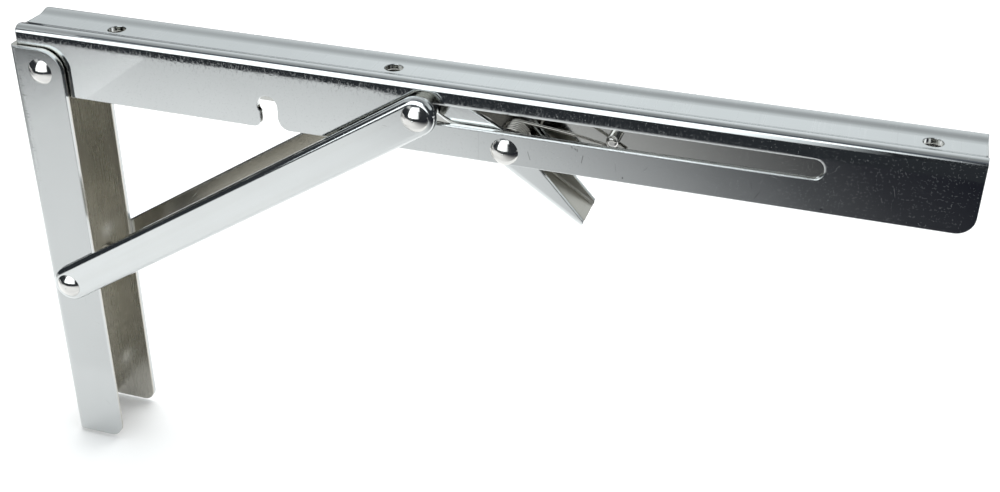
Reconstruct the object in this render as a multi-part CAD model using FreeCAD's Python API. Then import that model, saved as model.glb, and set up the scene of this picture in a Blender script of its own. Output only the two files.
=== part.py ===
"""Folding drop leaf table bracket in stainless steel sheet.

A wall leg carries a hinged table rail. Two brace bars reach from the leg to studs that slide
in the rail's slots, and a sprung lever inside the rail locks the studs. Millimetres, +Z up,
+X from the wall to the table's edge, Y across the bracket. The origin is the middle wall screw,
on the wall face.
"""
import FreeCAD, Part
import math
import os

# Sheet, bar and wire stock
LEG_SHEET = 1.8
RAIL_SHEET = 1.8
LEVER_SHEET = 1.5
BAR_THICKNESS = 3.0
SPRING_WIRE = 1.0

# Clearances
RUNNING_FIT = 0.05        # radial, pivot in its hole, and between faces that slide
SEAT_FIT = 0.02           # radial, fixed pin in its hole
SLOT_FIT = 0.08           # stud to each edge of its slot
LEG_SIDE_GAP = 0.7        # rail wall to leg flange, each side
FOLD_GAP = 0.3            # folded rail to the leg's web
LEVER_STOP_GAP = 0.25     # lock arm to the underside of the rail

# Table rail
RAIL_LENGTH = 305.0
RAIL_WIDTH = 21.0
RAIL_HEIGHT = 22.9
RAIL_BEND = 2.4           # outside radius between wall and ridge
RAIL_END_CORNER = 5.5     # lower corner at the table's edge
DISH_DEPTH = 1.0          # floor of the top below its ridges
DISH_FLOOR = 6.2          # flat width of that floor
TABLE_SCREW_D = 6.0
TABLE_SCREW_FIRST = 33.7  # from the wall
TABLE_SCREW_MIDDLE = 131.2
TABLE_SCREW_MARGIN = 14.7 # last screw from the rail's end

# Wall leg
LEG_DEPTH = 19.4
LEG_BEND = 3.0            # outside radius between web and flange
LEG_FOOT_CORNER = 4.5
LEG_TOP_DROP = 6.3        # top of the leg below the table
WALL_SCREW_D = 6.0
WALL_SCREW_PITCH = 59.0
WALL_SCREW_MARGIN = 10.0  # lowest screw above the foot
TABLE_HEIGHT = 95.0       # table plane above the middle wall screw

# Pivots, as drops below the table plane and distances from the wall
HINGE_DROP = 14.0
BRACE_PIVOT_X = 9.6
BRACE_PIVOT_DROP = 95.7
SLOT_DROP = 9.45
SLIDE_X = 143.8           # stud against the wall end of its slot
LEVER_PIVOT_X = 170.5
LEVER_PIVOT_BELOW_SLOT = 9.27

# Slot and notch
SLOT_WIDTH = 6.3
SLOT_SPARE = 9.3          # slot left over beyond the folded stud
NOTCH_WIDTH = 6.2
NOTCH_LEAD = 0.3          # notch shifted towards the hinge, for the tail's arc
NOTCH_EYE_D = 6.9         # round head of the notch
NOTCH_EYE_LEAD = 0.45     # head shifted towards the hinge
NOTCH_HINGE_LIP = 2.5
NOTCH_TABLE_LIP = 4.0

# Brace bars
BAR_WIDTH = 12.7
BAR_EDGE = 1.9            # rounding of the outer edges
BAR_INNER_EDGE = 0.6      # rounding of the edges towards the rail

# Rivets
HEAD_D = 8.8
HEAD_HEIGHT = 1.9
HINGE_SHANK_D = 5.0
HINGE_TAIL_D = 7.4
BRACE_SHANK_D = 4.2
BRACE_TAIL_D = 5.2        # passes through the notch when folded
SLIDE_SHANK_D = 4.2
TAIL_HEIGHT = 1.1

# Slide studs
STUD_FLANGE_D = 9.4
STUD_NECK_D = 4.4
KEEPER_D = 9.0
KEEPER_THICKNESS = 0.5
STUD_PEEN = 0.1           # neck's end beyond the keeper

# Release lever, about its pivot
LEVER_RIVET_D = 4.0
SLEEVE_D = 6.8
LEVER_WASHER_D = 8.6
LEVER_WASHER_THICKNESS = 0.75
LEVER_BEND = 2.2          # outside radius of the fold
HANDLE_SLOPE = 33.4       # degrees below the rail
HANDLE_REACH = 32.9       # tip from the pivot, along the handle
HANDLE_TIP = 2.4          # depth of the side plates at the tip
WEB_OFFSET = 6.5          # outer face of the handle's web from the pivot
WEB_BACK = 0.8            # web beyond the pivot, away from the tip
LOCK_GAP = 0.45           # lock face to the stud
LOCK_NOSE = 2.0           # rise of the nose above the lock face
LOCK_BELOW_SLOT = 2.1     # foot of the lock face below the slot's middle
HEEL_BACK = 9.5           # underside of the arm where it leaves the web
HEEL_RISE = 2.1
RAMP_BACK = 11.0          # ramp that the returning studs press down
RAMP_RISE = 10.7
SHOULDER_AHEAD = 1.5      # top of the plates over the pivot
SHOULDER_RISE = 4.3
LEVER_CORNER = 0.8        # rounding of the small corners
LEVER_BLEND = 5.0         # rounding of the shallow ones

# Lever spring and its post
COIL_RADIUS = 4.35        # to the middle of the wire
COIL_TURNS = 5
COIL_PITCH = 1.25
FIXED_LEG_DIP = 6.0       # degrees, first run of the fixed leg
FIXED_LEG_RUN = 18.5
FIXED_LEG_END = 4.8       # wire beyond the post
HANDLE_LEG_RUN = 16.0
SPRING_BEND = 3.0         # middle radius at the fixed leg's kink
POST_X = 200.4
POST_DROP = 17.6
POST_D = 4.0
POST_SHANK_D = 3.0
POST_LENGTH = 5.0
POST_ROUND = 1.2          # rounding of the post's free end

# Half widths across the bracket, from the middle outwards
RAIL_HALF = RAIL_WIDTH / 2
RAIL_INNER = RAIL_HALF - RAIL_SHEET
LEVER_HALF = RAIL_INNER - LEVER_WASHER_THICKNESS - 2 * RUNNING_FIT
LEVER_INNER = LEVER_HALF - LEVER_SHEET
LEG_INNER = RAIL_HALF + LEG_SIDE_GAP
LEG_HALF = LEG_INNER + LEG_SHEET
BAR_INNER = LEG_HALF + RUNNING_FIT
BAR_OUTER = BAR_INNER + BAR_THICKNESS

# Heights, and places as (x, z)
RAIL_LOW = TABLE_HEIGHT - RAIL_HEIGHT
RAIL_HEEL = RAIL_HEIGHT - HINGE_DROP
LEG_TOP = TABLE_HEIGHT - LEG_TOP_DROP
LEG_FOOT = -WALL_SCREW_PITCH - WALL_SCREW_MARGIN
HINGE = (LEG_SHEET + FOLD_GAP + RAIL_HEEL, TABLE_HEIGHT - HINGE_DROP)
BRACE_PIVOT = (BRACE_PIVOT_X, TABLE_HEIGHT - BRACE_PIVOT_DROP)
SLIDE = (SLIDE_X, TABLE_HEIGHT - SLOT_DROP)
LEVER_PIVOT = (LEVER_PIVOT_X, SLIDE[1] - LEVER_PIVOT_BELOW_SLOT)
POST = (POST_X, TABLE_HEIGHT - POST_DROP)
RAIL_START = HINGE[0] - RAIL_HEEL
RAIL_END = RAIL_START + RAIL_LENGTH
BAR_LENGTH = math.dist(BRACE_PIVOT, SLIDE)
STUD_D = SLOT_WIDTH - 2 * SLOT_FIT

# Rail top: from each ridge an S of two equal arcs runs down to the dish's floor
RIDGE_Y = RAIL_HALF - RAIL_BEND
S_REACH = (RIDGE_Y - DISH_FLOOR / 2) / 2
S_SLOPE = 2 * math.atan(DISH_DEPTH / (2 * S_REACH))
S_RADIUS = S_REACH / math.sin(S_SLOPE)

OVERSIZE = RAIL_LENGTH    # length of cutting tools that pass right through
NEAR, FAR = -1, 1


def at(x, y, z):
    return FreeCAD.Vector(x, y, z)


def round_corner(before, corner, after, radius):
    """Start, middle and end of the tangent arc that rounds a corner."""
    to_before = (before - corner).normalize()
    to_after = (after - corner).normalize()
    half_angle = to_before.getAngle(to_after) / 2
    bisector = (to_before + to_after).normalize()
    reach = radius / math.tan(half_angle)
    middle = corner + bisector * (radius / math.sin(half_angle) - radius)
    return corner + to_before * reach, middle, corner + to_after * reach


def rounded_face(points, radii):
    """A flat face inside an outline of corner points, each rounded by its radius."""
    arcs = []
    ends = []
    for index, (corner, radius) in enumerate(zip(points, radii)):
        if radius == 0:
            ends.append((corner, corner))
            continue
        following = points[(index + 1) % len(points)]
        start, middle, end = round_corner(points[index - 1], corner, following, radius)
        arcs.append(Part.Arc(start, middle, end).toShape())
        ends.append((start, end))
    lines = []
    for index, (start, _) in enumerate(ends):
        previous_end = ends[index - 1][1]
        if previous_end.distanceToPoint(start) > 1e-6:
            lines.append(Part.LineSegment(previous_end, start).toShape())
    return Part.Face(Part.Wire(Part.__sortEdges__(arcs + lines)))


def plate(corners, y_from, y_to):
    """A plate across the bracket from an outline of (x, z, corner radius)."""
    points = [at(x, y_from, z) for x, z, _ in corners]
    face = rounded_face(points, [radius for _, _, radius in corners])
    return face.extrude(at(0, y_to - y_from, 0))


def u_section(depth, half, sheet, bend):
    """Outline of a folded U as (out from the web, across, corner radius)."""
    inner = half - sheet
    return [
        (depth, half, 0), (0, half, bend), (0, -half, bend), (depth, -half, 0),
        (depth, -inner, 0), (sheet, -inner, bend - sheet), (sheet, inner, bend - sheet), (depth, inner, 0),
    ]


def disc(place, radius, y_from, y_to):
    """A cylinder across the bracket, on an axis at place (x, z)."""
    return Part.makeCylinder(radius, y_to - y_from, at(place[0], y_from, place[1]), at(0, 1, 0))


def ring(place, outer_d, bore_d, y_from, y_to):
    return disc(place, outer_d / 2, y_from, y_to).cut(disc(place, bore_d / 2, y_from, y_to))


def through(place, diameter):
    """A cutting pin right across the bracket."""
    return disc(place, diameter / 2, -OVERSIZE, OVERSIZE)


def dome(place, seat):
    """A domed rivet head that stands on the far-side face y = seat."""
    sphere = (HEAD_D ** 2 / 4 + HEAD_HEIGHT ** 2) / (2 * HEAD_HEIGHT)
    half_slant = math.asin(HEAD_D / 2 / sphere) / 2
    x, z = place
    foot = at(x, seat, z)
    crown = at(x, seat + HEAD_HEIGHT, z)
    rim = at(x + HEAD_D / 2, seat, z)
    between = at(x + sphere * math.sin(half_slant), crown.y - sphere * (1 - math.cos(half_slant)), z)
    edges = [
        Part.Arc(crown, between, rim).toShape(),
        Part.LineSegment(rim, foot).toShape(),
        Part.LineSegment(foot, crown).toShape(),
    ]
    return Part.Face(Part.Wire(edges)).revolve(foot, at(0, 1, 0), 360)


def on_side(shape, side):
    """A far-side shape as it is, or mirrored to the near side."""
    if side == FAR:
        return shape
    return shape.mirror(at(0, 0, 0), at(0, 1, 0))


def folded_slide_x():
    """Where the stud stands along the rail when the rail hangs straight down."""
    across = HINGE[0] + (SLIDE[1] - HINGE[1]) - BRACE_PIVOT[0]
    drop = math.sqrt(BAR_LENGTH ** 2 - across ** 2)
    return HINGE[0] + (HINGE[1] - BRACE_PIVOT[1]) + drop


def wall_leg():
    section = u_section(LEG_DEPTH, LEG_HALF, LEG_SHEET, LEG_BEND)
    face = rounded_face([at(x, y, LEG_FOOT) for x, y, _ in section], [radius for _, _, radius in section])
    leg = face.extrude(at(0, 0, LEG_TOP - LEG_FOOT))
    side_view = [
        (0, LEG_FOOT, 0), (LEG_DEPTH, LEG_FOOT, LEG_FOOT_CORNER),
        (LEG_DEPTH, LEG_TOP, LEG_TOP - HINGE[1]), (0, LEG_TOP, 0),
    ]
    leg = leg.common(plate(side_view, -OVERSIZE, OVERSIZE))
    cuts = [
        through(HINGE, HINGE_SHANK_D + 2 * SEAT_FIT),
        through(BRACE_PIVOT, BRACE_SHANK_D + 2 * SEAT_FIT),
    ]
    for step in (-1, 0, 1):
        screw = at(-LEG_SHEET, 0, step * WALL_SCREW_PITCH)
        cuts.append(Part.makeCylinder(WALL_SCREW_D / 2, 3 * LEG_SHEET, screw, at(1, 0, 0)))
    return leg.cut(cuts)


def rail_skin(inset):
    """Edges of the rail's section on one face of the sheet, inset from the outside."""
    up = math.pi / 2

    def arc(center_y, center_z, radius, start, end):
        angles = (start, (start + end) / 2, end)
        return [(center_y + radius * math.cos(a), center_z + radius * math.sin(a)) for a in angles]

    bend = arc(RIDGE_Y, TABLE_HEIGHT - RAIL_BEND, RAIL_BEND - inset, 0, up)
    ridge = arc(RIDGE_Y, TABLE_HEIGHT - S_RADIUS, S_RADIUS - inset, up, up + S_SLOPE)
    dish_center = TABLE_HEIGHT - DISH_DEPTH + S_RADIUS
    dish = arc(DISH_FLOOR / 2, dish_center, S_RADIUS + inset, S_SLOPE - up, -up)
    wall = [(RAIL_HALF - inset, RAIL_LOW), bend[0]]
    far_runs = [wall, bend, ridge, dish]
    near_runs = [[(-y, z) for y, z in run] for run in far_runs]
    floor = [far_runs[-1][-1], near_runs[-1][-1]]
    edges = []
    for run in far_runs + near_runs + [floor]:
        points = [at(RAIL_START, y, z) for y, z in run]
        curve = Part.LineSegment(*points) if len(points) == 2 else Part.Arc(*points)
        edges.append(curve.toShape())
    return edges


def rail_underside(y):
    """Height of the sheet's lower face beneath a ridge's inner slope."""
    radius = S_RADIUS - RAIL_SHEET
    return TABLE_HEIGHT - S_RADIUS + math.sqrt(radius ** 2 - (RIDGE_Y - y) ** 2)


def notch_head():
    """Where the brace rivet's tail stands in the rail when folded, a little towards the hinge."""
    return HINGE[0] + HINGE[1] - BRACE_PIVOT[1] - NOTCH_LEAD, HINGE[1] + BRACE_PIVOT[0] - HINGE[0]


def rail_side_view():
    """The rail's outline from the side, with the notch that clears the brace rivet's tail."""
    notch_x, notch_z = notch_head()
    notch_round = NOTCH_WIDTH / 2
    notch_top = notch_z + notch_round
    return [
        (RAIL_START, TABLE_HEIGHT, 0),
        (RAIL_START, RAIL_LOW, RAIL_HEEL),
        (notch_x - notch_round, RAIL_LOW, NOTCH_HINGE_LIP),
        (notch_x - notch_round, notch_top, notch_round),
        (notch_x + notch_round, notch_top, notch_round),
        (notch_x + notch_round, RAIL_LOW, NOTCH_TABLE_LIP),
        (RAIL_END, RAIL_LOW, RAIL_END_CORNER),
        (RAIL_END, TABLE_HEIGHT, 0),
    ]


def table_rail():
    edges = rail_skin(0) + rail_skin(RAIL_SHEET)
    for side in (NEAR, FAR):
        outer = at(RAIL_START, side * RAIL_HALF, RAIL_LOW)
        inner = at(RAIL_START, side * RAIL_INNER, RAIL_LOW)
        edges.append(Part.LineSegment(outer, inner).toShape())
    section = Part.Face(Part.Wire(Part.__sortEdges__(edges)))
    rail = section.extrude(at(RAIL_LENGTH, 0, 0)).common(plate(rail_side_view(), -OVERSIZE, OVERSIZE))
    slot_half = SLOT_WIDTH / 2
    slot_from = SLIDE[0] - slot_half
    slot_to = folded_slide_x() + SLOT_SPARE + slot_half
    slot = [
        (slot_from, SLIDE[1] - slot_half, slot_half), (slot_to, SLIDE[1] - slot_half, slot_half),
        (slot_to, SLIDE[1] + slot_half, slot_half), (slot_from, SLIDE[1] + slot_half, slot_half),
    ]
    notch_x, notch_z = notch_head()
    cuts = [
        plate(slot, -OVERSIZE, OVERSIZE),
        through((notch_x - NOTCH_EYE_LEAD, notch_z), NOTCH_EYE_D),
        through(HINGE, HINGE_SHANK_D + 2 * RUNNING_FIT),
        through(LEVER_PIVOT, LEVER_RIVET_D + 2 * SEAT_FIT),
        disc(POST, POST_SHANK_D / 2 + SEAT_FIT, 0, OVERSIZE),
    ]
    for x in (TABLE_SCREW_FIRST, TABLE_SCREW_MIDDLE, RAIL_END - TABLE_SCREW_MARGIN):
        cuts.append(Part.makeCylinder(TABLE_SCREW_D / 2, 2 * RAIL_HEIGHT, at(x, 0, RAIL_LOW)))
    return rail.cut(cuts)


def brace_bar(side):
    """A flat bar with round ends, from the leg's pivot to the slide stud."""
    along = ((SLIDE[0] - BRACE_PIVOT[0]) / BAR_LENGTH, (SLIDE[1] - BRACE_PIVOT[1]) / BAR_LENGTH)
    half = BAR_WIDTH / 2
    far_end = BAR_LENGTH + half
    corners = []
    for distance, offset in ((-half, -half), (far_end, -half), (far_end, half), (-half, half)):
        x = BRACE_PIVOT[0] + distance * along[0] - offset * along[1]
        z = BRACE_PIVOT[1] + distance * along[1] + offset * along[0]
        corners.append((x, z, half))
    bar = plate(corners, BAR_INNER, BAR_OUTER)
    outer_edges = [edge for edge in bar.Edges if edge.BoundBox.YMin > BAR_OUTER - BAR_THICKNESS / 2]
    bar = bar.makeFillet(BAR_EDGE, outer_edges)
    inner_edges = [edge for edge in bar.Edges if edge.BoundBox.YMax < BAR_INNER + BAR_INNER_EDGE / 2]
    bar = bar.makeFillet(BAR_INNER_EDGE, inner_edges)
    bar = bar.cut([
        through(BRACE_PIVOT, BRACE_SHANK_D + 2 * RUNNING_FIT),
        through(SLIDE, SLIDE_SHANK_D + 2 * SEAT_FIT),
    ])
    return on_side(bar, side)


def hinge_rivet(side):
    """Set in the leg's flange: the rail turns on its shank and is kept by its tail."""
    tail_seat = RAIL_INNER - RUNNING_FIT
    shank = disc(HINGE, HINGE_SHANK_D / 2, tail_seat, LEG_HALF)
    tail = disc(HINGE, HINGE_TAIL_D / 2, tail_seat - TAIL_HEIGHT, tail_seat)
    return on_side(dome(HINGE, LEG_HALF).fuse([shank, tail]), side)


def brace_rivet(side):
    """Set in the leg's flange: the brace bar turns on its shank, under the head."""
    head_seat = BAR_OUTER + RUNNING_FIT
    shank = disc(BRACE_PIVOT, BRACE_SHANK_D / 2, LEG_INNER, head_seat)
    tail = disc(BRACE_PIVOT, BRACE_TAIL_D / 2, LEG_INNER - TAIL_HEIGHT, LEG_INNER)
    return on_side(dome(BRACE_PIVOT, head_seat).fuse([shank, tail]), side)


def slide_rivet(side):
    """Set in the bar's upper end, flush with the face that meets the slide stud."""
    shank = disc(SLIDE, SLIDE_SHANK_D / 2, BAR_INNER, BAR_OUTER)
    return on_side(dome(SLIDE, BAR_OUTER).fuse(shank), side)


STUD_SHOULDER = RAIL_INNER - RUNNING_FIT


def slide_stud(side):
    """Runs in the rail's slot and spaces the bar from the rail."""
    flange_seat = RAIL_HALF + RUNNING_FIT
    flange = disc(SLIDE, STUD_FLANGE_D / 2, flange_seat, BAR_INNER - RUNNING_FIT)
    hub = disc(SLIDE, STUD_D / 2, STUD_SHOULDER, flange_seat)
    neck = disc(SLIDE, STUD_NECK_D / 2, STUD_SHOULDER - KEEPER_THICKNESS - STUD_PEEN, STUD_SHOULDER)
    return on_side(flange.fuse([hub, neck]), side)


def slide_keeper(side):
    """Washer on the stud's neck, inside the rail."""
    bore = STUD_NECK_D + 2 * SEAT_FIT
    return on_side(ring(SLIDE, KEEPER_D, bore, STUD_SHOULDER - KEEPER_THICKNESS, STUD_SHOULDER), side)


def handle_point(along, off):
    """A place (x, z) by its distance along the handle and off the pivot towards the handle's web."""
    slope = math.radians(HANDLE_SLOPE)
    x = LEVER_PIVOT[0] + along * math.cos(slope) - off * math.sin(slope)
    z = LEVER_PIVOT[1] - along * math.sin(slope) - off * math.cos(slope)
    return x, z


def release_lever():
    """One folded U: its two side plates are the lock arm inside the rail and the handle below it."""
    pivot_x, pivot_z = LEVER_PIVOT
    lock_x = SLIDE[0] + STUD_D / 2 + LOCK_GAP
    nose_z = rail_underside(LEVER_INNER) - LEVER_STOP_GAP
    side_view = [
        (lock_x, SLIDE[1] - LOCK_BELOW_SLOT, LEVER_CORNER),
        (lock_x, nose_z - LOCK_NOSE, LEVER_CORNER),
        (lock_x + LOCK_NOSE, nose_z, LEVER_CORNER),
        (pivot_x - RAMP_BACK, pivot_z + RAMP_RISE, LEVER_BLEND),
        (pivot_x + SHOULDER_AHEAD, pivot_z + SHOULDER_RISE, LEVER_BLEND),
        (*handle_point(HANDLE_REACH, WEB_OFFSET - HANDLE_TIP), LEVER_CORNER),
        (*handle_point(HANDLE_REACH, WEB_OFFSET), 0),
        (*handle_point(-WEB_BACK, WEB_OFFSET), LEVER_CORNER),
        (pivot_x - HEEL_BACK, pivot_z + HEEL_RISE, LEVER_BLEND),
    ]
    section = u_section(OVERSIZE, LEVER_HALF, LEVER_SHEET, LEVER_BEND)
    points = [at(-OVERSIZE, y, out - WEB_OFFSET) for out, y, _ in section]
    lever = rounded_face(points, [radius for _, _, radius in section]).extrude(at(2 * OVERSIZE, 0, 0))
    lever.rotate(at(0, 0, 0), at(0, 1, 0), HANDLE_SLOPE)
    lever.translate(at(pivot_x, 0, pivot_z))
    lever = lever.common(plate(side_view, -OVERSIZE, OVERSIZE))
    return lever.cut(through(LEVER_PIVOT, LEVER_RIVET_D + 2 * RUNNING_FIT))


def lever_rivet():
    """Pin across the rail with a domed head on each wall."""
    heads = [on_side(dome(LEVER_PIVOT, RAIL_HALF), side) for side in (NEAR, FAR)]
    return disc(LEVER_PIVOT, LEVER_RIVET_D / 2, -RAIL_HALF, RAIL_HALF).fuse(heads)


def lever_sleeve():
    """Tube on the lever rivet, between the lever's plates, inside the coil."""
    half = LEVER_INNER - RUNNING_FIT
    return ring(LEVER_PIVOT, SLEEVE_D, LEVER_RIVET_D + 2 * SEAT_FIT, -half, half)


def lever_washer(side):
    """Spacer on the lever rivet between the lever's plate and the rail's wall."""
    bore = LEVER_RIVET_D + 2 * SEAT_FIT
    y_from, y_to = LEVER_HALF + RUNNING_FIT, RAIL_INNER - RUNNING_FIT
    return on_side(ring(LEVER_PIVOT, LEVER_WASHER_D, bore, y_from, y_to), side)


def spring_post():
    """Stud in the far wall that holds down the spring's fixed leg."""
    free_end = RAIL_INNER - POST_LENGTH
    post = disc(POST, POST_D / 2, free_end, RAIL_INNER)
    end_edges = [edge for edge in post.Edges if edge.BoundBox.YMax < free_end + POST_ROUND / 2]
    post = post.makeFillet(POST_ROUND, end_edges)
    return post.fuse(disc(POST, POST_SHANK_D / 2, RAIL_INNER, RAIL_HALF))


def coil_edges(first, last, y_start):
    """Half turns that each step along the rivet, then a flat arc, between two angles about the pivot.

    Angles are in degrees from +X towards +Z, and the coil steps towards the near side.
    """
    x, z = LEVER_PIVOT

    def on_coil(angle, y):
        turn = math.radians(angle)
        return at(x + COIL_RADIUS * math.cos(turn), y, z + COIL_RADIUS * math.sin(turn))

    edges = []
    angle, y = first, y_start
    while angle + 180 <= last:
        start, end = on_coil(angle, y), on_coil(angle + 180, y - COIL_PITCH / 2)
        middle = (start + end) / 2
        crossways = (on_coil(angle + 90, middle.y) - middle).normalize()
        edges.append(Part.Arc(start, middle + crossways * start.distanceToPoint(middle), end).toShape())
        angle, y = angle + 180, y - COIL_PITCH / 2
    edges.append(Part.Arc(on_coil(angle, y), on_coil((angle + last) / 2, y), on_coil(last, y)).toShape())
    return edges, on_coil(first, y_start), on_coil(last, y)


def lever_spring():
    """Torsion coil on the sleeve: one leg under the post, the other along the handle's web."""
    dip = math.radians(FIXED_LEG_DIP)
    slope = math.radians(HANDLE_SLOPE)
    coil, fixed_start, handle_start = coil_edges(
        90 - FIXED_LEG_DIP, 360 * COIL_TURNS + 270 - HANDLE_SLOPE, COIL_PITCH * COIL_TURNS / 2
    )
    handle_end = handle_start + at(math.cos(slope), 0, -math.sin(slope)) * HANDLE_LEG_RUN
    kink = fixed_start + at(math.cos(dip), 0, -math.sin(dip)) * FIXED_LEG_RUN
    reach = math.dist((kink.x, kink.z), POST)
    touch = POST_D / 2 + SPRING_WIRE / 2 + RUNNING_FIT
    heading = math.atan2(POST[1] - kink.z, POST[0] - kink.x) - math.asin(touch / reach)
    to_post = math.sqrt(reach ** 2 - touch ** 2)
    drift = (RAIL_INNER - POST_LENGTH / 2 - kink.y) / to_post
    fixed_end = kink + at(math.cos(heading), drift, math.sin(heading)) * (to_post + FIXED_LEG_END)
    bend_from, bend_middle, bend_to = round_corner(fixed_end, kink, fixed_start, SPRING_BEND)
    path = Part.Wire([
        Part.LineSegment(fixed_end, bend_from).toShape(),
        Part.Arc(bend_from, bend_middle, bend_to).toShape(),
        Part.LineSegment(bend_to, fixed_start).toShape(),
        *coil,
        Part.LineSegment(handle_start, handle_end).toShape(),
    ])
    end_face = Part.Face(Part.Wire(Part.makeCircle(SPRING_WIRE / 2, fixed_end, fixed_end - kink)))
    return path.makePipe(end_face)


def pieces():
    """Every sub-part by its node name."""
    made = {
        "wall_leg": wall_leg(),
        "table_rail": table_rail(),
        "release_lever": release_lever(),
        "lever_rivet": lever_rivet(),
        "lever_sleeve": lever_sleeve(),
        "lever_spring": lever_spring(),
        "spring_post": spring_post(),
    }
    paired = (brace_bar, hinge_rivet, brace_rivet, slide_rivet, slide_stud, slide_keeper, lever_washer)
    for make in paired:
        made[make.__name__ + "_near"] = make(NEAR)
        made[make.__name__ + "_far"] = make(FAR)
    return made


os.makedirs("parts", exist_ok=True)
for node, shape in pieces().items():
    (solid,) = shape.removeSplitter().Solids
    if not solid.isValid():
        raise ValueError(node + " is not a valid solid")
    solid.exportStep("parts/" + node + ".step")
    print(node, round(solid.Volume, 1))
print("folded stud x", round(folded_slide_x(), 3), "bar length", round(BAR_LENGTH, 3))
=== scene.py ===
"""Looks of the folding drop leaf bracket: polished stainless sheet, bright rivets and a coiled lever spring.

Metres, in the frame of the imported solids: +X from the wall to the table's edge, Y across, +Z up.
"""
import math

import bpy
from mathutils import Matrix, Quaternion, Vector


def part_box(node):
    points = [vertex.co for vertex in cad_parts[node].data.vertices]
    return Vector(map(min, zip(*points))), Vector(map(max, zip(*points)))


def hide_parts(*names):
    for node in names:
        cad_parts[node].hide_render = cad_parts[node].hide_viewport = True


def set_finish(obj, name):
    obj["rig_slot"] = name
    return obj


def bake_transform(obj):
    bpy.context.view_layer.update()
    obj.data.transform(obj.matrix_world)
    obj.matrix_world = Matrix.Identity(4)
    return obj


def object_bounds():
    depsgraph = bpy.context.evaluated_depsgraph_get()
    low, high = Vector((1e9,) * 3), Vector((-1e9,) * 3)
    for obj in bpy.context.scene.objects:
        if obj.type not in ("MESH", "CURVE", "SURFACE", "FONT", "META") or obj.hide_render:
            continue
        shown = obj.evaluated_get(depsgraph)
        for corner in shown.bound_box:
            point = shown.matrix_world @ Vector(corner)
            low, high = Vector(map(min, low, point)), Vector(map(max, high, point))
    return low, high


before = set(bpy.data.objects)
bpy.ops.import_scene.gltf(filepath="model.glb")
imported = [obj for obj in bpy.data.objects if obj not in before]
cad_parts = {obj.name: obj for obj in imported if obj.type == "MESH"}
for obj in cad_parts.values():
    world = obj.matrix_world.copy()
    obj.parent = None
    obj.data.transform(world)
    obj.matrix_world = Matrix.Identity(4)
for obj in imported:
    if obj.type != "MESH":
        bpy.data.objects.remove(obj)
cad_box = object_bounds()
MM = 0.001

# Camera, at the photograph's angle
CAMERA_PLACE = Vector((274.97, -353.79, 253.95)) * MM
CAMERA_AZIMUTH = 17.05     # degrees round from the near side, towards +X
CAMERA_ELEVATION = 30.42   # degrees down
CAMERA_ROLL = 0.89
CAMERA_LENS = 47.561
SENSOR_WIDTH = 36.0
CLIP_START = 0.01

# Studio: the paper, the dome and the lamp
FLOOR_DROP = 1.5 * MM      # paper below the leg's foot
FLOOR_HEIGHT = cad_box[0].z - FLOOR_DROP
FLOOR_SIZE = 14.0
FLOOR_TONE = (0.908, 0.905, 0.90)
FLOOR_GLOW = 0.13
FLOOR_ROUGH = 0.9
FLOOR_SHINE = 0.1
SKY_STOPS = ((-0.02, 0.92), (0.42, 1.05), (0.71, 0.80), (0.93, 0.44), (1.0, 0.36))   # sine up, brightness
SKY_SIDES = ((-0.8, 0.62), (-0.55, 0.80), (-0.3, 1.0), (0.0, 0.97), (0.3, 0.80))     # sine towards +X, share
SKY_TINT = (0.93, 0.98, 1.0)
OVERHEAD_POWER = 21.0
OVERHEAD_PLACE = (0.15, 0.35, 1.3)
OVERHEAD_SIZE = (1.6, 1.2)
ROOM_MIDDLE = (0.15, 0.0)

# Studio: what only reflections see
SOFTBOX_LIGHT = 2.4
SOFTBOX_CORNER = (0.52, -0.80, -0.02)
SOFTBOX_WIDTH = 1.14
SOFTBOX_RISE = 1.29
DARK = 0.035               # brightness of the room beyond the lights
DARK_TINT = (0.88, 1.0, 1.15)
ROOM_RADIUS = 1.3
ROOM_FRONT = 1.3           # height of the dark towards the camera
ROOM_BACK = 0.28           # and behind the bracket
PAPER_EDGE = -0.349        # front edge of the paper, where the dark room begins
SIDE_REACH = 0.9           # of the paper's shade and the wide cards, both ways along X
SHADE_TINT = (0, 0.0015, 0.009)   # light of the paper where its shade is full
SHADE_ALONG = ((-0.12, 0.92), (-0.02, 0.92), (0.052, 0.80), (0.125, 0.50), (0.196, 0.22),
               (0.241, 0.09), (0.285, 0.04), (0.34, 0.02))      # x, share of the paper's light left
SHADE_AHEAD = ((-0.349, 0.72), (-0.285, 0.90), (-0.19, 0.95), (-0.05, 1.0))      # y, the same
SHADE_SKEW = 0.45          # shift of the x stops for each step along y
SHADE_ORIGIN = -0.315      # y where they are as written

# Finish
STEEL_TINT = (0.622, 0.640, 0.640)
PIN_TINT = (0.70, 0.69, 0.67)
WIRE_TINT = (0.50, 0.485, 0.455)
STREAK_TINT = (0.50, 0.49, 0.45)
INNER_SHADE_TINT = (0.485, 0.472, 0.430)   # painted shade: darker, warmer tint of the shaded inner faces
SATIN_SHADE_TONE = 1.2           # share of that painted shade tint on the handle's satin inside
TICK_TONE = 0.45           # share of the steel's tint in the press marks
NICK_TONE = 0.30           # and in the nicks
INNER_ROUGH = 0.12
WORN_ROUGH = 0.3
SCUFF_ROUGH = 0.22
EDGE_BREAK = 0.45 * MM     # rounding of the sheared sheet edges
SLOT_BREAK = 1.0 * MM      # the same along the rail's slots
SLOT_MIDDLE = 200 * MM
SLOT_SQUEEZE = 0.05        # the slot's length is pressed together by this to find what lies round it
SLOT_REACH = 4.6 * MM
TICK_PITCH = 1.15 * MM
TICK_STRIP = (2.2 * MM, 2.8 * MM, 3.6 * MM, 4.6 * MM)   # x where the press marks fade in and out
TICK_RISE = (25 * MM, 60 * MM)       # heights between which they come in
LEG_BOW = (58 * MM, -0.22)           # height where the leg's sheet starts to bow, and how fast
HANDLE_SLOPE = math.radians(33.4)
HANDLE_TOP = 70 * MM

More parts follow.
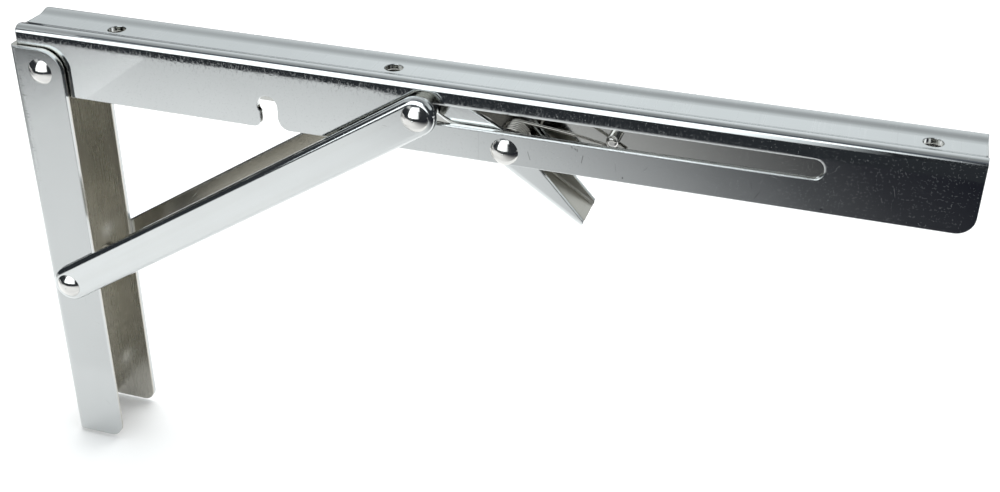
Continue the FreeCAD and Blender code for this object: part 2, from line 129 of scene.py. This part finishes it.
# Texture of the steel: features per metre along the grain, and across it both ways
LINES = (25, 2600, 2600)
SPECKLE = (4800, 4800, 4800)
MOTTLE = (1000, 1200, 1200)
SWELL = (60, 120, 120)
CLOUD = (45, 70, 70)
STREAKS = (9, 420, 420)
PATCHES = (2300, 900, 900)

# Depth of its relief in mm
LINE_DEPTH = 0.0006
SPECKLE_DEPTH = 0.0012
MOTTLE_DEPTH = 0.004
WORN_DEPTH = 0.006

# Scattered marks: cell, longest half length, half width, share of the cells that have one
SCRATCHES = (9 * MM, 1.4 * MM, 0.05 * MM, 0.14)
PITS = (1.7 * MM, 0.12 * MM, 0.09 * MM, 0.30)
DUST = (1.1 * MM, 0.40 * MM, 0.22 * MM, 0.55)

# Marks on the rail's near wall: (x, z) of both ends in mm, and width
DARK_NICKS = (
    (162.4, 81.7, 162.4, 72.7, 0.07), (177.9, 77.4, 178.7, 75.0, 0.16), (191.4, 81.4, 191.6, 80.9, 0.22),
    (192.4, 80.9, 192.7, 80.5, 0.22), (193.1, 80.8, 193.2, 80.1, 0.20), (195.0, 78.9, 194.6, 76.5, 0.18),
    (204.8, 77.8, 205.2, 75.4, 0.10), (207.3, 73.7, 207.3, 73.5, 0.30), (213.5, 77.1, 214.5, 78.2, 0.12),
    (244.7, 78.7, 245.2, 76.6, 0.10), (246.3, 73.7, 247.5, 75.7, 0.14), (265.2, 73.3, 265.4, 73.3, 0.32),
)
PALE_SCUFFS = (
    (288.6, 85.3, 292.0, 83.2, 0.14), (290.4, 86.5, 291.8, 83.1, 0.14), (288.5, 82.3, 294.5, 83.6, 0.12),
    (301.4, 81.1, 302.9, 82.0, 0.12), (299.3, 78.2, 300.8, 80.4, 0.10),
)


def middle(node):
    low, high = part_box(node)
    return (low + high) / 2


def half_width(node):
    low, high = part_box(node)
    return (high.y - low.y) / 2


def slope(direction):
    """Turn about Y that brings +X onto a direction in the XZ plane."""
    return math.atan2(-direction.z, direction.x)


def times(tint, share):
    return tuple(share * c for c in tint)


class Graph:
    """Adds nodes to a tree and links them: an input is a constant or another node's output socket."""

    def __init__(self, tree):
        self.tree = tree
        tree.nodes.clear()

    def feed(self, socket, value):
        if isinstance(value, bpy.types.NodeSocket):
            self.tree.links.new(value, socket)
        else:
            socket.default_value = value

    def add(self, kind, inputs=None, **settings):
        made = self.tree.nodes.new(kind)
        for name, value in settings.items():
            setattr(made, name, value)
        for key, value in (inputs or {}).items():
            self.feed(made.inputs[key], value)
        return made

    def place(self):
        """Object coordinates, which are the frame's own while the part is at rest."""
        return self.add("ShaderNodeTexCoord").outputs["Object"]

    def split(self, vector):
        """X, Y and Z of a vector."""
        return list(self.add("ShaderNodeSeparateXYZ", {"Vector": vector}).outputs)

    def math(self, operation, *values, clamp=False):
        node = self.add("ShaderNodeMath", dict(enumerate(values)), operation=operation, use_clamp=clamp)
        return node.outputs[0]

    def vector_math(self, operation, *values):
        node = self.add("ShaderNodeVectorMath", dict(enumerate(values)), operation=operation)
        return node.outputs["Value" if operation in ("DISTANCE", "DOT_PRODUCT") else "Vector"]

    def ramp(self, value, low, high, to_low=0.0, to_high=1.0, smooth=True):
        """A value's range mapped onto another, held at its ends."""
        inputs = {"Value": value, "From Min": low, "From Max": high, "To Min": to_low, "To Max": to_high}
        kind = "SMOOTHSTEP" if smooth else "LINEAR"
        return self.add("ShaderNodeMapRange", inputs, interpolation_type=kind).outputs["Result"]

    def noise(self, vector, scale, detail=2.0, roughness=0.5):
        inputs = {"Vector": vector, "Scale": scale, "Detail": detail, "Roughness": roughness}
        return self.add("ShaderNodeTexNoise", inputs).outputs["Fac"]

    def mix_colour(self, share, first, second):
        node = self.add("ShaderNodeMix", data_type="RGBA")
        for key, value in {"Factor": share, "A": first, "B": second}.items():
            socket = next(s for s in node.inputs
                          if s.name == key and s.type in ("RGBA", "VALUE") and s.enabled)
            self.feed(socket, (*value, 1) if isinstance(value, tuple) else value)
        return next(s for s in node.outputs if s.type == "RGBA")


def new_material(name):
    made = bpy.data.materials.new(name)
    made.use_nodes = True
    return made, Graph(made.node_tree)


def metal_surface(graph, tint, rough, normal, metal=1.0):
    shader = graph.add("ShaderNodeBsdfPrincipled", {"Base Color": tint, "Roughness": rough, "Metallic": metal,
                                                    "Normal": normal})
    graph.add("ShaderNodeOutputMaterial", {"Surface": shader.outputs["BSDF"]})


def grained(graph, turn, stretch, detail=1.0, roughness=0.5):
    """Noise in object coordinates turned so that X runs along the metal's grain, then stretched."""
    turned = graph.add("ShaderNodeMapping", {"Vector": graph.place(), "Rotation": (0, -turn, 0)})
    stretched = graph.add("ShaderNodeMapping", {"Vector": turned.outputs["Vector"], "Scale": stretch})
    return graph.noise(stretched.outputs["Vector"], 1.0, detail, roughness)


def scattered(graph, cell, length, width, share):
    """Short straight marks, one at most in each cell of the XZ plane, each at its own angle."""
    flat = graph.add("ShaderNodeMapping", {"Vector": graph.place(), "Scale": (1 / cell, 0, 1 / cell)})
    flat = flat.outputs["Vector"]
    cells = graph.add("ShaderNodeTexVoronoi", {"Vector": flat, "Scale": 1.0, "Randomness": 1.0})
    draw = graph.add("ShaderNodeSeparateColor", {"Color": cells.outputs["Color"]})
    offset = graph.vector_math("SUBTRACT", flat, cells.outputs["Position"])
    angle = graph.math("MULTIPLY", draw.outputs["Red"], math.pi)
    turned = graph.add("ShaderNodeVectorRotate", {"Vector": offset, "Angle": angle}, rotation_type="Y_AXIS")
    x, _, z = graph.split(turned.outputs["Vector"])
    reach = graph.math("MULTIPLY", draw.outputs["Green"], length / cell)
    inside = graph.math("LESS_THAN", graph.math("ABSOLUTE", x), reach)
    line = graph.ramp(graph.math("ABSOLUTE", z), 0.0, width / cell, 1.0, 0.0)
    chosen = graph.math("LESS_THAN", draw.outputs["Blue"], share)
    return graph.math("MULTIPLY", graph.math("MULTIPLY", inside, line), chosen)


def strokes(graph, ends):
    """Straight marks on the near side, each between two places in the XZ plane."""
    place = graph.place()
    flat = graph.vector_math("MULTIPLY", place, (1, 0, 1))
    drawn = 0.0
    for x0, z0, x1, z1, width in ends:
        start = Vector((x0, 0, z0)) * MM
        run = Vector((x1, 0, z1)) * MM - start
        offset = graph.vector_math("SUBTRACT", flat, start)
        share = graph.vector_math("DOT_PRODUCT", offset, run)
        share = graph.math("DIVIDE", share, run.length_squared, clamp=True)
        along = graph.add("ShaderNodeVectorMath", {0: run, "Scale": share}, operation="SCALE")
        away = graph.vector_math("DISTANCE", offset, along.outputs["Vector"])
        line = graph.ramp(away, 0.3 * width * MM, width * MM, min(1.0, 4 * width), 0.0)
        drawn = graph.math("MAXIMUM", drawn, line)
    return graph.math("MULTIPLY", drawn, graph.math("LESS_THAN", graph.split(place)[1], 0.0))


def press_ticks(graph):
    """Short crosswise dashes that the press left along the near bend of the leg's upper part."""
    place = graph.place()
    x, y, z = graph.split(place)
    wave = graph.math("SINE", graph.math("MULTIPLY", z, 2 * math.pi / TICK_PITCH))
    chance = graph.noise(place, 900.0, detail=1.0)
    dash = graph.math("MULTIPLY", graph.ramp(wave, 0.2, 0.7), graph.ramp(chance, 0.46, 0.60))
    strip = graph.math("MULTIPLY", graph.ramp(x, *TICK_STRIP[:2]), graph.ramp(x, *TICK_STRIP[2:], 1.0, 0.0))
    strip = graph.math("MULTIPLY", strip, graph.ramp(z, *TICK_RISE, 0.0, 0.8))
    near = graph.math("LESS_THAN", y, 0.0)
    return graph.math("MULTIPLY", graph.math("MULTIPLY", dash, strip), near)


def inside_of(graph, half, above, below):
    """1 on the inner faces: nearer the middle than half, and between two heights."""
    _, y, z = graph.split(graph.place())
    between = graph.math("LESS_THAN", graph.math("ABSOLUTE", y), half)
    between = graph.math("MULTIPLY", between, graph.math("LESS_THAN", z, below))
    return graph.math("MULTIPLY", between, graph.math("GREATER_THAN", z, above))


def edge_radius(graph, slot):
    """Rounding of the sheared edges, larger round a slot."""
    squeezed = graph.vector_math("MULTIPLY", graph.place(), (SLOT_SQUEEZE, 0, 1))
    near = graph.math("LESS_THAN", graph.vector_math("DISTANCE", squeezed, slot), SLOT_REACH)
    return graph.math("ADD", EDGE_BREAK, graph.math("MULTIPLY", near, SLOT_BREAK - EDGE_BREAK))


def bowed(graph, start, rise):
    """A layer of relief for sheet that bows more and more above a height."""
    over = graph.math("MAXIMUM", graph.math("SUBTRACT", graph.split(graph.place())[2], start), 0.0)
    return graph.math("MULTIPLY", over, over), rise / MM


def relief(graph, normal, layers):
    """Bumps laid on one another: each a height and its depth in mm, sunk where that is negative."""
    for height, depth in layers:
        inputs = {"Height": height, "Strength": 1.0, "Distance": abs(depth) * MM, "Normal": normal}
        normal = graph.add("ShaderNodeBump", inputs, invert=depth < 0).outputs["Normal"]
    return normal


def sheet_steel(name, turn, gloss, wobble, tone=1.0, grit=1.0, inner=0.0, above=-1.0, below=1.0, inner_shade=1.0,
                inner_shade_tone=1.0, satin=0.0, streak=0.0, haze=0.0, ticks=False, slot=None, nicks=(), scuffs=(),
                bow=None):
    """Polished sheet: draw lines along the grain, a fine speckle, cloudy handling marks and scratches.

    inner, above and below bound the inner faces, which get painted shade: a darker, warmer tint and more
    roughness.
    The share after below is how far they take that tint, and the tone after it scales it. satin roughens the
    inner faces lower than above and gives them the same painted shade tint at its own tone. haze mottles the
    polish and lays dust on it.
    """
    made, graph = new_material(name)
    lines = grained(graph, turn, LINES, detail=2.0)
    cloud = grained(graph, turn, CLOUD, detail=4.0, roughness=0.6)
    worn = graph.math("MAXIMUM", scattered(graph, *SCRATCHES), scattered(graph, *PITS))

    # tone scales the one steel tint piece by piece: lower on the leg as painted shade, higher on the bars and
    # the lever as painted light.
    steel = times(STEEL_TINT, tone)
    tint = graph.mix_colour(cloud, times(steel, 0.95), times(steel, 1.03))
    rough = graph.math("ADD", graph.ramp(cloud, 0.3, 0.7, gloss * 0.88, gloss * 1.15),
                       graph.ramp(lines, 0.3, 0.7, -0.1 * gloss, 0.1 * gloss))
    rough = graph.math("ADD", rough, graph.math("MULTIPLY", worn, WORN_ROUGH))
    if streak:
        drawn = grained(graph, turn, STREAKS, detail=3.0)
        tint = graph.mix_colour(graph.ramp(drawn, 0.35, 0.65, 0.0, streak), tint, STREAK_TINT)
    if ticks:
        tint = graph.mix_colour(press_ticks(graph), tint, times(STEEL_TINT, TICK_TONE))
    # Painted shade: the inner faces take a darker, warmer tint and more roughness.
    shaded_inside = graph.math("MULTIPLY", inside_of(graph, inner, above, below), inner_shade)
    tint = graph.mix_colour(shaded_inside, tint, times(INNER_SHADE_TINT, inner_shade_tone))
    rough = graph.math("ADD", rough, graph.math("MULTIPLY", shaded_inside, INNER_ROUGH))
    # Painted shade on the handle's inside lower than above, which is also rougher.
    if satin:
        satin_shaded = inside_of(graph, inner, -1.0, above)
        tint = graph.mix_colour(satin_shaded, tint, times(INNER_SHADE_TINT, SATIN_SHADE_TONE))
        rough = graph.math("ADD", rough, graph.math("MULTIPLY", satin_shaded, satin))
    metal = 1.0
    if haze:
        patches = grained(graph, turn, PATCHES, detail=2.0)
        rough = graph.math("ADD", rough, graph.ramp(patches, 0.48, 0.72, 0.0, haze))
        metal = graph.math("SUBTRACT", 1.0, graph.math("MULTIPLY", scattered(graph, *DUST), 2.0 * haze))
    if nicks:
        tint = graph.mix_colour(strokes(graph, nicks), tint, times(STEEL_TINT, NICK_TONE))
    if scuffs:
        rough = graph.math("ADD", rough, graph.math("MULTIPLY", strokes(graph, scuffs), SCUFF_ROUGH))

    layers = [
        (lines, LINE_DEPTH * grit),
        (grained(graph, turn, SPECKLE), SPECKLE_DEPTH * grit),
        (grained(graph, turn, MOTTLE), MOTTLE_DEPTH * grit),
        (grained(graph, turn, SWELL), wobble),
        (worn, -WORN_DEPTH),
    ]
    if bow:
        layers.append(bowed(graph, *bow))
    radius = edge_radius(graph, slot) if slot else EDGE_BREAK
    rounded = graph.add("ShaderNodeBevel", {"Radius": radius}, samples=6).outputs["Normal"]
    metal_surface(graph, tint, rough, relief(graph, rounded, layers), metal)
    return made


def bright_pin():
    """Rivets and studs: almost mirror bright, with tiny dents and a fine grit."""
    made, graph = new_material("bright_pin")
    place = graph.place()
    cloud = graph.noise(place, 420.0, detail=3.0)
    grit = graph.noise(place, 3800.0, detail=1.0)
    tint = graph.mix_colour(cloud, times(PIN_TINT, 0.95), times(PIN_TINT, 1.05))
    rough = graph.ramp(cloud, 0.3, 0.7, 0.07, 0.15)
    dents = graph.add("ShaderNodeBump", {"Height": cloud, "Strength": 0.10, "Distance": 0.10 * MM})
    fine = graph.add("ShaderNodeBump", {"Height": grit, "Strength": 0.05, "Distance": 0.01 * MM,
                                        "Normal": dents.outputs["Normal"]})
    metal_surface(graph, tint, rough, fine.outputs["Normal"])
    return made


def drawn_wire():
    """Spring wire: darker than the rivets, with a fine grit."""
    made, graph = new_material("drawn_wire")
    place = graph.place()
    cloud = graph.noise(place, 650.0, detail=3.0)
    grit = graph.noise(place, 5200.0, detail=2.0)
    tint = graph.mix_colour(cloud, times(WIRE_TINT, 0.86), times(WIRE_TINT, 1.1))
    rough = graph.ramp(cloud, 0.3, 0.7, 0.08, 0.14)
    fine = graph.add("ShaderNodeBump", {"Height": grit, "Strength": 0.05, "Distance": 0.004 * MM})
    metal_surface(graph, tint, rough, fine.outputs["Normal"])
    return made


def wear(piece, material):
    piece.data.materials.clear()
    piece.data.materials.append(material)


def dress_sheets():
    """Sheet and bar pieces, each with its grain along its own length."""
    brace_turn = slope(middle("slide_rivet_near") - middle("brace_rivet_near"))
    slot = (SLOT_SQUEEZE * SLOT_MIDDLE, 0, middle("slide_rivet_near").z)
    # The inner faces of each piece, inside the channels and between the bars, get painted shade.
    bar_inner = abs(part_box("brace_bar_far")[0].y) + 0.2 * MM
    # The tones per piece are painted light and shade: the leg's is lower, the bars' and the lever's higher.
    finishes = {
        "table_rail": sheet_steel(
            "rail_sheet", turn=0.0, gloss=0.022, wobble=0.003, grit=0.2,
            inner=half_width("table_rail") - 1.2 * MM, below=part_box("table_rail")[1].z - 2.3 * MM, inner_shade=0.5,
            haze=0.05, slot=slot, nicks=DARK_NICKS, scuffs=PALE_SCUFFS),
        "wall_leg": sheet_steel(
            "leg_sheet", turn=math.pi / 2, gloss=0.15, wobble=0.01, tone=0.88, grit=0.08, ticks=True,
            inner=half_width("wall_leg") - 1.2 * MM, inner_shade_tone=1.12, bow=LEG_BOW),
        "release_lever": sheet_steel(
            "lever_sheet", turn=HANDLE_SLOPE, gloss=0.10, wobble=0.01, tone=1.2, grit=0.3,
            inner=half_width("release_lever") - 1.0 * MM, above=HANDLE_TOP, inner_shade_tone=0.2, satin=0.25),
    }
    bar = sheet_steel("bar_stock", turn=brace_turn, gloss=0.08, wobble=0.008, tone=1.09, grit=0.25,
                      streak=0.10, inner=bar_inner)
    finishes.update({"brace_bar_near": bar, "brace_bar_far": bar})
    for node, material in finishes.items():
        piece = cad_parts[node]
        wear(piece, material)
        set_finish(piece, "stainless_sheet")


def dress_pins():
    """Every rivet, stud, washer and sleeve: whatever is neither sheet nor spring."""
    material = bright_pin()
    for node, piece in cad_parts.items():
        if "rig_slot" in piece or node == "lever_spring":
            continue
        wear(piece, material)
        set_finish(piece, "stainless_pins")


def put(name, data):
    """Adds an object to the scene."""
    made = bpy.data.objects.new(name, data)
    bpy.context.scene.collection.objects.link(made)
    return made


def dress_spring():
    """The lever spring copied into one coil of drawn wire, and the imported spring hidden. On the bracket the
    coil winds up as the lever turns: one leg stays with the rail, the other follows the handle.
    """
    coil = put("lever_spring_coil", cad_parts["lever_spring"].data.copy())
    wear(coil, drawn_wire())
    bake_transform(coil)
    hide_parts("lever_spring")
    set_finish(coil, "spring_wire")


def stops(graph, value, levels):
    """A grey level read off a list of (value, level)."""
    first, last = levels[0][0], levels[-1][0]
    node = graph.add("ShaderNodeValToRGB", {"Fac": graph.ramp(value, first, last, smooth=False)})
    elements = node.color_ramp.elements
    elements[0].color = (*[levels[0][1]] * 3, 1)
    elements[1].color = (*[levels[-1][1]] * 3, 1)
    for place, level in levels[1:-1]:
        elements.new((place - first) / (last - first)).color = (level, level, level, 1)
    return graph.add("ShaderNodeSeparateColor", {"Color": node.outputs["Color"]}).outputs["Red"]


def floor():
    mesh = bpy.data.meshes.new("floor")
    half = FLOOR_SIZE / 2
    corners = [(x * half, y * half, FLOOR_HEIGHT) for x, y in ((-1, -1), (1, -1), (1, 1), (-1, 1))]
    mesh.from_pydata(corners, [], [(0, 1, 2, 3)])
    made = put("floor", mesh)
    material, graph = new_material("floor_paper")
    shader = graph.add("ShaderNodeBsdfPrincipled", {
        "Base Color": (*FLOOR_TONE, 1), "Roughness": FLOOR_ROUGH, "Specular IOR Level": FLOOR_SHINE,
        "Emission Color": (*FLOOR_TONE, 1), "Emission Strength": FLOOR_GLOW,
    })
    graph.add("ShaderNodeOutputMaterial", {"Surface": shader.outputs["BSDF"]})
    mesh.materials.append(material)


def sky():
    """Pale studio dome, dimmer overhead and towards the sides."""
    world = bpy.data.worlds.new("studio")
    bpy.context.scene.world = world
    world.use_nodes = True
    graph = Graph(world.node_tree)
    x, _, z = graph.split(graph.add("ShaderNodeTexCoord").outputs["Generated"])
    level = graph.math("MULTIPLY", stops(graph, z, SKY_STOPS), stops(graph, x, SKY_SIDES))
    back = graph.add("ShaderNodeBackground", {"Color": (*SKY_TINT, 1), "Strength": level})
    graph.add("ShaderNodeOutputWorld", {"Surface": back.outputs["Background"]})


def overhead():
    """A large soft lamp above and behind, which lights the floor and isn't mirrored in the metal."""
    light = bpy.data.lights.new("overhead", "AREA")
    light.shape = "RECTANGLE"
    light.size, light.size_y = OVERHEAD_SIZE
    light.energy = OVERHEAD_POWER
    made = put("overhead", light)
    made.location = OVERHEAD_PLACE
    made.rotation_mode = "QUATERNION"
    made.rotation_quaternion = (Vector((*ROOM_MIDDLE, 0)) - made.location).to_track_quat("-Z", "Y")
    made.visible_camera = False
    made.visible_glossy = False


def only_mirrored(made):
    """Hides a studio piece from the camera, diffuse light and shadows, so that only reflections see it."""
    made.visible_camera = False
    made.visible_diffuse = False
    made.visible_shadow = False


def veil(graph, share, shown):
    """A surface that is clear where share is 0 and glows with a colour where it is 1."""
    glow = graph.add("ShaderNodeEmission", {"Color": (*shown, 1), "Strength": 1.0})
    clear = graph.add("ShaderNodeBsdfTransparent")
    both = graph.add("ShaderNodeMixShader", {0: share, 1: clear.outputs[0], 2: glow.outputs[0]})
    graph.add("ShaderNodeOutputMaterial", {"Surface": both.outputs[0]})


def card(name, points, faces, uvs, tone, soft):
    """A studio card that only reflections see. It is clear where u is 0 and full from u = soft."""
    mesh = bpy.data.meshes.new(name)
    mesh.from_pydata(points, [], faces)
    layer = mesh.uv_layers.new(name="card")
    for loop, place in zip(mesh.loops, layer.data):
        place.uv = uvs[loop.vertex_index]
    made = put(name, mesh)
    material, graph = new_material(name)
    u = graph.split(graph.add("ShaderNodeTexCoord").outputs["UV"])[0]
    tint = SKY_TINT if tone > 1 else DARK_TINT
    veil(graph, graph.ramp(u, 0.0, soft, smooth=False), times(tint, tone))
    mesh.materials.append(material)
    only_mirrored(made)


def flat_card(name, corner, across, up, tone, soft):
    """A rectangle from a corner, soft along its first edge."""
    corner, across, up = Vector(corner), Vector(across), Vector(up)
    points = [corner, corner + across, corner + across + up, corner + up]
    card(name, points, [(0, 1, 2, 3)], ((0, 0), (1, 0), (1, 1), (0, 1)), tone, soft)


def dark_room(steps=64):
    """A dark ring round the set, taller towards the camera, with a soft upper edge."""
    points = []
    uvs = []
    for step in range(steps):
        angle = 2 * math.pi * step / steps
        share = (1 - math.sin(angle)) / 2
        top = FLOOR_HEIGHT + ROOM_BACK + (ROOM_FRONT - ROOM_BACK) * share
        for z, u in ((FLOOR_HEIGHT, 1.0), (top, 0.0)):
            points.append((ROOM_MIDDLE[0] + ROOM_RADIUS * math.cos(angle),
                           ROOM_MIDDLE[1] + ROOM_RADIUS * math.sin(angle), z))
            uvs.append((u, 0.0))
    faces = []
    for step in range(steps):
        after = (step + 1) % steps
        faces.append((2 * step, 2 * after, 2 * after + 1, 2 * step + 1))
    card("dark_room", points, faces, uvs, tone=DARK, soft=0.25)


def paper_shade():
    """The paper falls off into the dark towards the front and the right, seen in reflections only."""
    mesh = bpy.data.meshes.new("paper_shade")
    back = SHADE_AHEAD[-1][0]
    corners = ((-SIDE_REACH, PAPER_EDGE), (SIDE_REACH, PAPER_EDGE), (SIDE_REACH, back), (-SIDE_REACH, back))
    mesh.from_pydata([(x, y, FLOOR_HEIGHT + FLOOR_DROP / 2) for x, y in corners], [], [(0, 1, 2, 3)])
    made = put("paper_shade", mesh)
    material, graph = new_material("paper_shade")
    x, y, _ = graph.split(graph.place())
    skew = graph.math("MULTIPLY", graph.math("SUBTRACT", y, SHADE_ORIGIN), -SHADE_SKEW)
    along = stops(graph, graph.math("ADD", x, skew), SHADE_ALONG)
    left = graph.math("MULTIPLY", along, stops(graph, y, SHADE_AHEAD))
    veil(graph, graph.math("SUBTRACT", 1.0, left), SHADE_TINT)
    mesh.materials.append(material)
    only_mirrored(made)


def cards():
    """What the metal mirrors round the paper: the room's dark, the softbox in front and the camera's side."""
    wide = (-2 * SIDE_REACH, 0, 0)
    flat_card("room_below", corner=(SIDE_REACH, PAPER_EDGE, FLOOR_HEIGHT), across=wide, up=(0, 0, 0.105),
              tone=DARK, soft=0.01)
    flat_card("room_beside", corner=(-0.17, PAPER_EDGE, FLOOR_HEIGHT + FLOOR_DROP / 2), across=(-0.6, 0, 0),
              up=(0, 0.95, 0), tone=DARK, soft=0.38)
    outline = ((-0.05, PAPER_EDGE), (SIDE_REACH, PAPER_EDGE), (SIDE_REACH, -0.336), (0.03, -0.340))
    card("room_in_front", points=[(x, y, FLOOR_HEIGHT + FLOOR_DROP) for x, y in outline],
         faces=[(0, 1, 2, 3)], uvs=[(1, 0)] * 4, tone=DARK, soft=0.5)
    flat_card("front_softbox", corner=SOFTBOX_CORNER, across=(-SOFTBOX_WIDTH, 0, 0), up=(0, 0, SOFTBOX_RISE),
              tone=SOFTBOX_LIGHT, soft=0.03)
    _, front, bottom = SOFTBOX_CORNER
    flat_card("room_above", corner=(SIDE_REACH, front, bottom + SOFTBOX_RISE), across=wide,
              up=(0, 0.55, 0.25), tone=4 * DARK, soft=0.05)
    flat_card("camera_flag", corner=(0.17, -0.36, FLOOR_HEIGHT), across=(0.60, 0, 0), up=(0, 0, 0.43),
              tone=DARK / 2, soft=0.2)
    flat_card("camera_hood", corner=(0.25, -0.355, FLOOR_HEIGHT), across=(0.50, 0, 0), up=(0, 0, 0.80),
              tone=DARK, soft=0.2)


def camera():
    data = bpy.data.cameras.new("camera")
    data.lens = CAMERA_LENS
    data.sensor_width = SENSOR_WIDTH
    data.clip_start = CLIP_START
    azimuth, elevation = math.radians(CAMERA_AZIMUTH), math.radians(CAMERA_ELEVATION)
    ahead = Vector((-math.sin(azimuth) * math.cos(elevation), math.cos(azimuth) * math.cos(elevation),
                    -math.sin(elevation)))
    made = put("camera", data)
    made.location = CAMERA_PLACE
    made.rotation_mode = "QUATERNION"
    roll = Quaternion((0, 0, 1), math.radians(CAMERA_ROLL))
    made.rotation_quaternion = ahead.to_track_quat("-Z", "Y") @ roll
    bpy.context.scene.camera = made


dress_sheets()
dress_pins()
dress_spring()
floor()
sky()
overhead()
dark_room()
paper_shade()
cards()
camera()
bpy.context.scene.view_settings.view_transform = "Standard"
